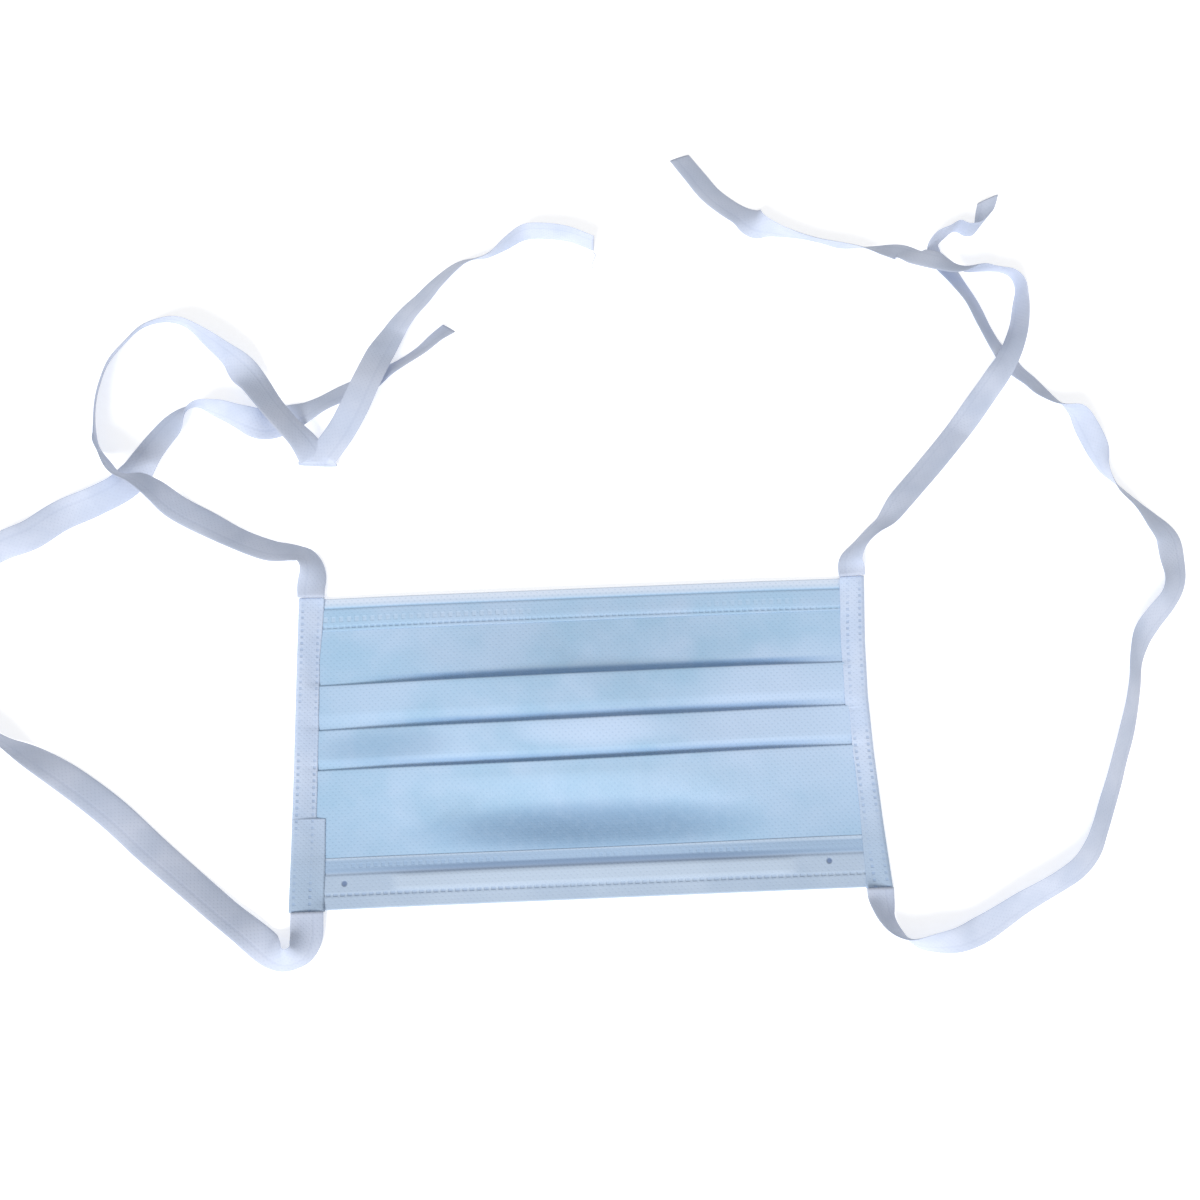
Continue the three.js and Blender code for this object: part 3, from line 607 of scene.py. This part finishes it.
def panelCorners():
    # corners of the body's line: from inside the chin hem, under and back at each pleat, into the nose hem
    height, half = body["height"], body["cloth"] / 2
    rows = [(body["cloth"] + body["clearance"], 1, 0), (hems["chin"], 1, 0)]
    rows.append((pleats["edge"][0] * height - pleats["drop"], 0, 0))
    for index, (edgeShare, gapeShare) in enumerate(zip(pleats["edge"], pleats["share"])):
        edge = edgeShare * height + half
        under, gape = edge + pleats["depth"], gapeShare * pleats["gape"]
        rows += [(under, 0, 0), (under, 1, 0), (edge, 1, gape), (edge, 2, gape), (under + half, 2, 0)]
        if index + 1 < len(pleats["edge"]):
            rows.append((pleats["edge"][index + 1] * height - pleats["drop"], 0, 0))
    rows.append((height - hems["nose"], 1, 0))
    rows.append((height - hems["wireInset"] - hems["wireWidth"] - body["clearance"], 1, 0))
    return np.array(rows, float)


def hemCorners(outerFold, innerEdge):
    # folded round the body's edge; the upper free edge sinks onto the body
    inwards = np.sign(innerEdge - outerFold)
    sinking = innerEdge - inwards * hems["sinking"]
    return np.array([(innerEdge, 0, 0), (outerFold, 0, 0), (outerFold, 2, 0), (sinking, 2, 0),
                     (innerEdge, hems["sunkLayer"], 0)], float)


def roundedLine(corners, spread, coarse):
    # walks the corners in tiny steps, rounds them by a running mean, then keeps more points where it bends
    section = corners.copy()
    section[:, 1] = body["lowest"] + corners[:, 1] * body["pitch"]
    lengths = np.concatenate([[0], np.cumsum(np.linalg.norm(np.diff(section[:, :2], axis=0), axis=1))])
    tiny = 0.00005
    at = np.linspace(0, lengths[-1], int(lengths[-1] / tiny) + 1)
    walked = np.stack([np.interp(at, lengths, column) for column in section.T], 1)
    walked = smoothed(walked, spread / tiny)
    ways = np.diff(walked[:, :2], axis=0)
    angles = np.unwrap(np.arctan2(ways[:, 1], ways[:, 0]))
    effort = np.linalg.norm(ways, axis=1) / coarse
    bendStep = 0.4  # radians from one point to the next
    effort[1:] = effort[1:] + abs(np.diff(angles)) / bendStep
    effort = np.concatenate([[0], np.cumsum(effort)])
    kept = np.interp(np.linspace(0, effort[-1], int(effort[-1]) + 1), effort, at)
    return np.stack([np.interp(kept, at, column) for column in walked.T], 1), kept


def layCloth(name, corners, reach, columns, material, spread=0.0002, coarse=0.0009,
             relief=None, fine=0):
    # the line's two faces, half the cloth's thickness to either side, carried across its reach, a pair of
    # shares of half the width; fine is how much of its thickness the cloth loses at its last edge
    section, lengths = roundedLine(corners, spread, coarse)
    way = unit(np.gradient(section[:, :2], axis=0))
    half = body["shown"] / 2 * (1 - fine * np.exp(-(lengths[-1] - lengths) / hems["thinning"]))
    off = np.stack([-way[:, 1], way[:, 0]], 1) * half[:, None]
    faces = np.concatenate([section[:, :2] + off, (section[:, :2] - off)[::-1]])
    gape = np.concatenate([section[:, 2], section[::-1, 2]])
    across = np.linspace(*reach, columns + 1)[:, None]
    along = faces[None, :, 0] / body["height"]
    left, right = (abs(sideEdge(side, along)) for side in ("left", "right"))
    edge = np.where(across < 0, left, right) - body["cloth"] - body["clearance"]
    x, y = across * edge, body["height"] / 2 - faces[None, :, 0] + shiftAt(across, along)
    base = body["lowest"] - body["shown"] / 2
    z = base + (faces[None, :, 1] - base) * pressedAt(across) + domeAt(across, along)
    z = z + gape[None] * swell(across / body["flatSides"]) + rumpled(x, y)
    if relief is not None:
        z = z + relief(x, y, faces[None, :, 1])
    rings = np.stack([x, y, z], -1)
    run = np.concatenate([lengths, lengths[::-1]])[None, :] + 0 * across
    flat = np.stack([x, run], -1)
    return buildSkin(name, rings, closedCut(flat), material)


def foldRuns():
    # how far down the cloth each place is where it goes in under a pleat
    corners = panelCorners()
    runs = np.cumsum(np.hypot(np.diff(corners[:, 0]), np.diff(corners[:, 1]) * body["pitch"]))
    cornersPerPleat = 6
    places = runs[1:1 + cornersPerPleat * len(pleats["edge"]):cornersPerPleat]
    return [float(place + pleats["drop"]) for place in places]


def softSpot(finish, x, y, middle, reach):
    # 1 in the middle of an oval, 0 from its edge on
    return finish.fade(((x - middle[0]) / reach[0]) ** 2 + ((y - middle[1]) / reach[1]) ** 2, 0.0, 1.0)


clothLook = {"rough": 0.9, "sheen": 0.12, "gap": 0.0013, "fine": 3600}
# Painted light and painted shade on the body: middle and reach of each oval
shades = {
    "paintedLightRight": ((0.066, 0.006), (0.042, 0.026)),
    "paintedLightMiddle": ((0.004, 0.002), (0.03, 0.007)),
    "paintedShadeNose": ((0, -0.0262), (0.06, 0.0092)),
    "paintedShadeLeft": ((-0.06, 0), (0.024, 0.007)),
    "paintedGreyShade": ((0, -0.0135), (0.06, 0.008)),
}
# Painted shade just above each pleat's fold: its offset from the fold, full and faded half-widths, and its
# middle, full and faded reach across
foldShade = {"above": 0.0009, "core": 0.0003, "edge": 0.0019, "middle": 0.008, "full": 0.045, "none": 0.078}


def blueCloth():
    # blue spunbond: clouded colour, painted light and shade in ovals, at the folds and towards the nose
    # edge, fine strands, pressed points
    finish, cut, points, strands = nonwoven("blueSpunbond", clothLook)
    x, y, _ = finish.parts(finish.place())
    _, run, _ = finish.parts(cut)
    patches = finish.cloud(cut, 38, 3, 0.55)
    specks = finish.cloud(cut, 420, 3, 0.6)
    colour = finish.mixed(finish.fade(patches, 0.68, 0.32), tone(160, 197, 227), tone(182, 208, 237))
    # painted light in paler ovals at the right and the middle, painted shade in deeper ovals low in the
    # middle and at the left
    pale = softSpot(finish, x, y, *shades["paintedLightRight"]) + softSpot(finish, x, y, *shades["paintedLightMiddle"])
    shadeOvals = softSpot(finish, x, y, *shades["paintedShadeNose"]) + softSpot(finish, x, y, *shades["paintedShadeLeft"]) * 0.5
    colour = colour.towards(pale * 0.8, 200, 220, 248)
    # painted shade: darker towards the nose edge
    colour = colour.towards(finish.fade(y, -0.034, -0.014) * 0.35, 150, 182, 213)
    # painted shade: a greyer oval across the lower band
    paintedGreyShade = softSpot(finish, x, y, *shades["paintedGreyShade"])
    colour = colour.towards(paintedGreyShade * 0.4, 160, 188, 212)
    # painted shade laid on the deeper ovals
    colour = colour.towards(shadeOvals * 0.9, 122, 158, 193)
    # painted shade on the band just above each pleat's fold, strongest mid-width, lighter at each later
    # pleat
    for index, place in enumerate(foldRuns()):
        offFold = abs(run - (place - foldShade["above"]))
        offMiddle = abs(x - foldShade["middle"])
        paintedFoldShade = finish.fade(offFold, foldShade["core"], foldShade["edge"])
        paintedFoldShade = paintedFoldShade * finish.fade(offMiddle, foldShade["full"], foldShade["none"])
        colour = colour.towards(paintedFoldShade * (0.75 - 0.15 * index), 104, 152, 206)
    colour = colour.towards(finish.fade(specks, 0.75, 0.4) * 0.12, 190, 212, 238)
    colour = colour.towards(points * 0.18, 132, 172, 212)
    colour = colour.towards(strands * 0.2, 205, 222, 242)
    height = strands * 0.3 + specks * 0.3 - points * 0.5
    return finish.give(Base_Color=colour, Normal=bumped(finish, height, 0.0001, 0.8))


def chinCloth():
    # the same blue, doubled over, with two weld lines and short dashes between them
    finish, cut, points, strands = nonwoven("chinHemSpunbond", clothLook)
    x, y, _ = finish.parts(finish.place())
    down = body["height"] / 2 - y
    patches = finish.cloud(cut, 38, 3, 0.55)
    first, second = hems["chinWelds"]
    firstLine = drawnLine(finish, down, first, 0.0008)
    secondLine = weldRow(finish, x, down, second, 0.0007, 0.0019, 0.6)
    dashes = weldRow(finish, x, down, hems["chinDashes"], 0.0016, 0.0024, 0.5)
    worn = finish.fade(finish.cloud(cut, 26, 2), 0.6, 0.42)
    colour = finish.mixed(finish.fade(patches, 0.68, 0.32), tone(165, 200, 230), tone(182, 206, 234))
    colour = colour.towards(finish.fade(down, 0.0012, 0.0042) * 0.9, 224, 234, 250)
    colour = colour.towards(points * 0.18, 140, 176, 214)
    colour = colour.towards(strands * 0.2, 205, 222, 242)
    colour = colour.towards(firstLine * 0.4, 142, 184, 222)
    colour = colour.towards(secondLine * (0.1 + worn * 0.25), 135, 166, 204)
    colour = colour.towards(dashes * worn * 0.3, 206, 222, 244)
    height = strands * 0.3 - points * 0.5 - secondLine * 1.5 - dashes * worn - firstLine
    return finish.give(Base_Color=colour, Normal=bumped(finish, height, 0.0001, 0.8))


# Nose hem marks from the nose edge: line is the weld line that carries painted shadow
noseMarks = {"line": 0.0109, "lineWidth": 0.003, "dashes": 0.0128, "paler": 0.0104,
             "spots": ((-0.0719, 0.0077), (0.0702, 0.0084)), "spotRadius": 0.0011}


def noseCloth():
    # pale doubled cloth: blue above the weld line (painted shadow on it), whiter over the wire and down to
    # the edge, painted highlight at the inner edge
    finish, cut, points, strands = nonwoven("noseHemSpunbond", clothLook)
    x, y, _ = finish.parts(finish.place())
    up = y + body["height"] / 2
    patches = finish.cloud(cut, 38, 3, 0.55)
    # painted shadow along the weld line: darkest mid-width, fading towards the ends
    inward = finish.fade(abs(x), 0.03, 0.082)
    weldLineAndShadow = drawnLine(finish, up + inward * -0.0002, noseMarks["line"], noseMarks["lineWidth"])
    weldLineAndShadow = weldLineAndShadow * (0.18 + inward * 0.5)
    worn = finish.fade(finish.cloud(cut, 26, 2), 0.6, 0.42)
    lowerLine = weldRow(finish, x, up, hems["noseWelds"][1], 0.0008, 0.0021, 0.62)
    dashes = weldRow(finish, x, up, noseMarks["dashes"], 0.0012, 0.0022, 0.5)
    spots = 0
    for place in noseMarks["spots"]:
        away = ((x - place[0]) ** 2 + (up - place[1]) ** 2) ** 0.5
        spots = finish.fade(away, 0.0005, noseMarks["spotRadius"]) + spots
    offWire = up - (hems["wireInset"] + hems["wireWidth"] / 2)
    overWire = finish.fade(abs(offWire), 0.0017, 0.0026)
    overWire = overWire * finish.fade(abs(x - hems["wireShift"]), 0.057, 0.0605)
    colour = finish.mixed(finish.fade(patches, 0.68, 0.32), tone(168, 188, 211), tone(180, 198, 219))
    colour = colour.towards(finish.fade(up, 0.0113, noseMarks["paler"]), 156, 184, 214)
    # painted highlight: a paler line along the hem's inner edge
    colour = colour.towards(finish.fade(up, hems["nose"], 0.0142), 180, 205, 232)
    colour = colour.towards(finish.fade(up, 0.0149, 0.0141) * 0.5, 206, 224, 244)
    colour = colour.towards(overWire * 0.7, 186, 203, 222)
    colour = colour.towards(points * 0.15, 165, 185, 220)
    colour = colour.towards(strands * 0.2, 218, 227, 245)
    # painted shadow on the weld line
    colour = colour.towards(weldLineAndShadow * 0.85, 84, 108, 144)
    colour = colour.towards(lowerLine * (0.15 + worn * 0.25), 140, 164, 200)
    colour = colour.towards(dashes * worn * 0.3, 145, 175, 212)
    colour = colour.towards(spots * 0.75, 80, 105, 150)
    height = strands * 0.3 - points * 0.5 - lowerLine * 1.5 - dashes * worn - spots * 3 - weldLineAndShadow
    return finish.give(Base_Color=colour, Normal=bumped(finish, height, 0.0001, 0.8))


def groove(distance, at):
    # a bell-shaped hollow along one weld line
    return -hems["grooveDepth"] * np.exp(-((distance - at) / (hems["grooveWidth"] / 2)) ** 2)


def chinRelief(x, y, level):
    # pressed weld lines on the upper layer
    down = body["height"] / 2 - y
    upper = level > body["lowest"] + body["pitch"]
    first, second = hems["chinWelds"]
    return upper * (groove(down, first) + groove(down, second))


def noseRelief(x, y, level):
    # pressed weld lines, and the raised band over the wire
    up = y + body["height"] / 2
    upper = level > body["lowest"] + body["pitch"]
    middle = hems["wireInset"] + hems["wireWidth"] / 2
    overWire = np.exp(-((up - middle) / (hems["wireWidth"] * 0.55)) ** 6)
    reach = (hems["wireLength"] / 2 - abs(x - hems["wireShift"])) / 0.0012
    overWire = overWire / (1 + np.exp(-np.clip(reach, -30, 30)))
    first, second = hems["noseWelds"]
    return upper * (groove(up, first) + groove(up, second) + hems["wireRise"] * overWire)


pleatedPanel = layCloth("pleatedPanel", panelCorners(), (-1, 1), body["columns"], blueCloth(),
                        spread=0.00032)
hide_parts("pleated_panel")
chinCorners = hemCorners(body["cloth"] / 2, hems["chin"])
chinHem = layCloth("chinHem", chinCorners, (-1, 1), body["columns"], chinCloth(),
                   coarse=0.0003, relief=chinRelief, fine=0.75)
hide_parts("chin_hem")
noseCorners = hemCorners(body["height"] - body["cloth"] / 2, body["height"] - hems["nose"])
noseHem = layCloth("noseHem", noseCorners, (-1, 1), body["columns"], noseCloth(),
                   coarse=0.0003, relief=noseRelief, fine=0.75)
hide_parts("nose_hem")
print("body and hems made")

# Side bindings: tape folded round the side edge and welded down in two rows; widths are shares of the
# common width, and from lapAt down the left one is wider and a little thicker
binding = {"width": 0.0076, "room": 0.00006, "web": 0.001, "stations": 190, "points": 15, "lap": 0.00012,
           "lapAt": 0.714, "lapStep": 0.003, "rising": 0.0022, "endRise": 0.7, "edgeThinning": 0.7,
           "sealAt": 0.92, "waver": 0.00012}
leftWidths = {"along": [0, 0.2, 0.712, 0.716, 1], "width": [1.05, 0.92, 0.96, 1.32, 1.36]}
rightWidths = {"along": [0, 0.43, 0.436, 0.75, 1], "width": [1, 0.92, 0.8, 0.84, 1]}


def clothTop():
    # height of the uppermost layer at each tenth of a millimetre down the body: the highest of its
    # neighbours within 0.6 mm, softened like cloth laid over it
    distance = np.linspace(0, body["height"], 946)
    top = np.full(len(distance), body["lowest"])
    for corners in (panelCorners(), chinCorners, noseCorners):
        section, _ = roundedLine(corners, 0.0002, 0.0001)
        place = np.clip(np.round(section[:, 0] / distance[1]).astype(int), 0, len(distance) - 1)
        np.maximum.at(top, place, section[:, 1])
    spread = np.max([np.roll(top, shift) for shift in range(-6, 7)], axis=0)
    return distance, smoothed(spread[:, None], 7)[:, 0] + body["shown"] / 2


def buildBinding(name, side, widths, seed, material):
    # a C-shaped section, two flanges and a rounded web, carried down the side edge; the upper flange
    # sinks from the web towards the cloth under its inner edge
    sign = -1 if side == "left" else 1
    lapEdges = [binding["lapAt"], binding["lapAt"] + binding["lapStep"]]
    even = np.linspace(0, 1, binding["stations"])
    stations = np.unique(np.concatenate([even, widths["along"], lapEdges]))
    along = stations[:, None]
    shown = body["shown"]
    under = np.interp(along * body["height"], *clothTop())
    top = body["lowest"] + 2 * body["pitch"] + 1.5 * shown + binding["room"]
    flange = np.linspace(0, 1, binding["points"])
    bend = np.linspace(-np.pi / 2, np.pi / 2, binding["points"])[1:-1]
    inward = np.concatenate([1 - flange, 0 * bend, flange])
    outward = np.concatenate([0 * flange, np.cos(bend), 0 * flange])
    level = np.concatenate([-1 + 0 * flange, np.sin(bend), 1 + 0 * flange])
    wavy = binding["waver"] * softNoise(along, along * 0, 0.06, seed)
    width = binding["width"] * np.interp(along, widths["along"], widths["width"]) + wavy
    centreWeb = sideEdge(side, along) - sign * (binding["web"] + shown / 2)
    reach = width - binding["web"] - shown / 2
    x = centreWeb + sign * (outward[None] * binding["web"] - inward[None] * reach)
    z = top / 2 + level[None] * (top - shown) / 2
    base = body["lowest"] - shown / 2
    rest = base + (under - base) * pressedAt(binding["sealAt"]) + binding["room"]
    sink = inward * inward * (3 - 2 * inward) * (level == 1)
    fromEnd = np.minimum(along, 1 - along) * body["height"]
    ends = 1 - binding["endRise"] * np.exp(-(fromEnd / binding["rising"]) ** 2)
    z = z - sink[None] * ends * np.maximum(0, top - shown / 2 - rest)
    wayX, wayZ = np.gradient(x, axis=1), np.gradient(z + 0 * x, axis=1)
    size = np.hypot(wayX, wayZ)
    thin = shown / 2 * (1 - binding["edgeThinning"] * inward ** 4 * (level == 1))[None]
    offX, offZ = -wayZ / size * thin, wayX / size * thin
    upper = np.clip(level[None], 0, 1) ** 2
    lapped = np.clip((along - binding["lapAt"]) / binding["lapStep"], 0, 1) * binding["lap"]
    lapped = lapped * (side == "left")
    puff = binding["waver"] * softNoise(x, along * body["height"], 0.004, seed + 1) + lapped
    down = body["height"] / 2 * (1 - 2 * along)
    one = np.stack([x + offX, down + 0 * x, z + offZ + upper * puff], -1)
    two = np.stack([x - offX, down + 0 * x, z - offZ + upper * puff], -1)
    rings = np.concatenate([one, two[:, ::-1]], axis=1)
    fromEdge = np.abs(sideEdge(side, along) - x) * np.where(level[None] > 0, 1, -1)
    acrossCut = np.concatenate([fromEdge, fromEdge[:, ::-1]], 1)
    flat = np.stack([acrossCut, np.broadcast_to(down, acrossCut.shape)], -1)
    return buildSkin(name, rings, closedCut(flat), material)


def bindingCloth(name, rows):
    # white tape with two rows of weld dots, and painted shade darkening it towards the nose end
    finish, cut, points, strands = nonwoven(name, tapeLook)
    across, along, _ = finish.parts(cut)
    patches = finish.cloud(cut, 70, 3)
    colour = finish.mixed(finish.fade(patches, 0.7, 0.3), tone(192, 210, 238), tone(206, 220, 244))
    # painted shade: darker towards the nose end
    colour = colour.towards(finish.fade(along, -0.042, 0.0) * 0.9, 158, 181, 206)
    colour = colour.towards(points * 0.15, 165, 188, 222)
    colour = colour.towards(strands * 0.25, 220, 230, 247)
    welds = 0
    for at in rows:
        welds = weldRow(finish, along, across, at, 0.0008, 0.002, 0.42) + welds
    worn = finish.fade(finish.cloud(cut, 45, 2), 0.62, 0.4)
    colour = colour.towards(welds * (0.12 + worn * 0.35), 140, 166, 205)
    height = strands * 0.3 - points * 0.5 - welds * worn
    return finish.give(Base_Color=colour, Normal=bumped(finish, height, 0.0001, 0.9))


leftTape = bindingCloth("leftBindingTape", (0.0016, 0.0062))
rightTape = bindingCloth("rightBindingTape", (0.0016, 0.0052))
leftBinding = buildBinding("leftBinding", "left", leftWidths, 51, leftTape)
rightBinding = buildBinding("rightBinding", "right", rightWidths, 57, rightTape)
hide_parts("left_binding")
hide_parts("right_binding")
print("bindings made")


def wireCover():
    # matt plastic over the wire, faintly ribbed along its length
    finish = Finish("wireCoverPlastic", Roughness=0.5)
    place = finish.place()
    grain = finish.cloud(finish.moved(place, 0.0, (300, 3000, 1)), 1.0)
    colour = finish.mixed(finish.fade(grain, 0.7, 0.3), tone(224, 229, 238), tone(236, 240, 246))
    return finish.give(Base_Color=colour, Normal=bumped(finish, grain, 0.00005, 0.5))


wireEdge = body["height"] - hems["wireInset"]
wireReach = [2 * (hems["wireShift"] + way * hems["wireLength"] / 2) / body["length"] for way in (-1, 1)]
wireCorners = np.array([(wireEdge - hems["wireWidth"], 1, 0), (wireEdge, 1, 0)], float)
noseWire = layCloth("noseWire", wireCorners, wireReach, hems["wireColumns"], wireCover())
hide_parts("nose_wire")

# Surface and light; the key stands on the nose side, a little to the left
light = {"key": (-0.8, -1.8, 1.7), "aim": (0, 0.03, 0), "keySize": 1.1, "keyPower": 56.0, "sky": 0.6}
surface = {"half": 6, "glow": 0.42, "dark": (0.88, 0.88, 0.885, 1), "pale": (0.9, 0.9, 0.905, 1)}


def addStage():
    # a wide flat surface that glows a little, so that it shows as white
    finish = Finish("paleSurface", Roughness=0.8)
    place = finish.place()
    colour = finish.mixed(finish.cloud(place, 8), surface["dark"], surface["pale"])
    finish.give(Base_Color=colour)
    finish.shader.inputs["Emission Color"].default_value = (1, 1, 1, 1)
    finish.shader.inputs["Emission Strength"].default_value = surface["glow"]
    half = surface["half"]
    mesh = bpy.data.meshes.new("surface")
    corners = [(-half, -half, 0), (half, -half, 0), (half, half, 0), (-half, half, 0)]
    mesh.from_pydata(corners, [], [(0, 1, 2, 3)])
    mesh.materials.append(finish.material)
    piece = bpy.data.objects.new("surface", mesh)
    bpy.context.scene.collection.objects.link(piece)


def addLight():
    # one round soft lamp turned towards the mask, and an even white sky
    lamp = bpy.data.lights.new("key", "AREA")
    lamp.shape = "DISK"
    lamp.size = light["keySize"]
    lamp.energy = light["keyPower"]
    lampObject = bpy.data.objects.new("key", lamp)
    lampObject.location = light["key"]
    beam = Vector(light["aim"]) - lampObject.location
    lampObject.rotation_euler = beam.to_track_quat("-Z", "Y").to_euler()
    bpy.context.scene.collection.objects.link(lampObject)
    world = bpy.data.worlds.new("studio")
    world.use_nodes = True
    world.node_tree.nodes["Background"].inputs[0].default_value = (1, 1, 1, 1)
    world.node_tree.nodes["Background"].inputs[1].default_value = light["sky"]
    bpy.context.scene.world = world
    bpy.context.scene.view_settings.view_transform = "Standard"


addStage()
addLight()
